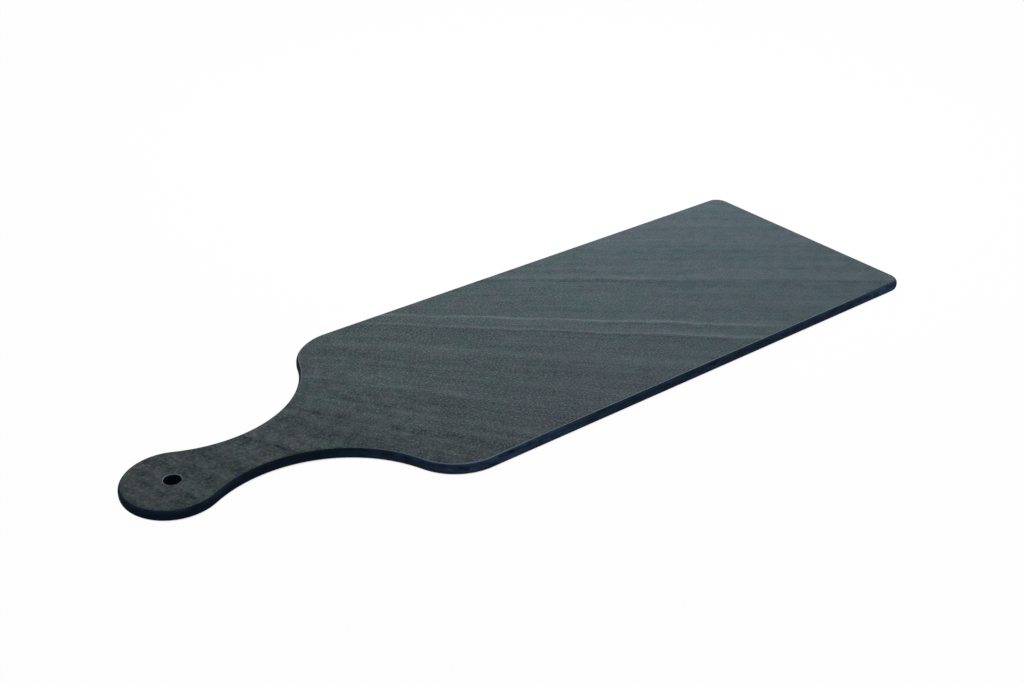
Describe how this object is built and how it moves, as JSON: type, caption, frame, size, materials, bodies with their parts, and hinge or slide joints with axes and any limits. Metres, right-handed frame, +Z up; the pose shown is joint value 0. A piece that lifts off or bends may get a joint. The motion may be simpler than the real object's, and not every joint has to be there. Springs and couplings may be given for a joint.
{
  "type": "display tray",
  "caption": "Flat paddle-shaped display tray in dark stone-look compact laminate, with a waisted handle, a hanging hole and soft non-slip feet.",
  "frame": {"origin": "on the table under the middle of the board: middle of the length and of the width, at the bottom of the feet", "axes": "+X along the board from the grip to the far end, +Y to the left, +Z up out of the stone-look face"},
  "size_m": [0.53, 0.176, 0.0084],
  "materials": {
    "black_core": "machined edge of black phenolic core, blue-black and satin",
    "stone_decor": "satin melamine-resin face printed as dark grey bedded stone",
    "black_backing": "plain black balancing sheet with a fine matt grain",
    "silicone_foot": "moulded dark grey silicone, matt"
  },
  "bodies": {
    "root": {"core_board": "black_core", "stone_face_sheet": "stone_decor", "backing_sheet": "black_backing", "foot_far_left": "silicone_foot", "foot_far_right": "silicone_foot", "foot_shoulder_left": "silicone_foot", "foot_shoulder_right": "silicone_foot", "foot_grip": "silicone_foot"}
  },
  "joints": []
}
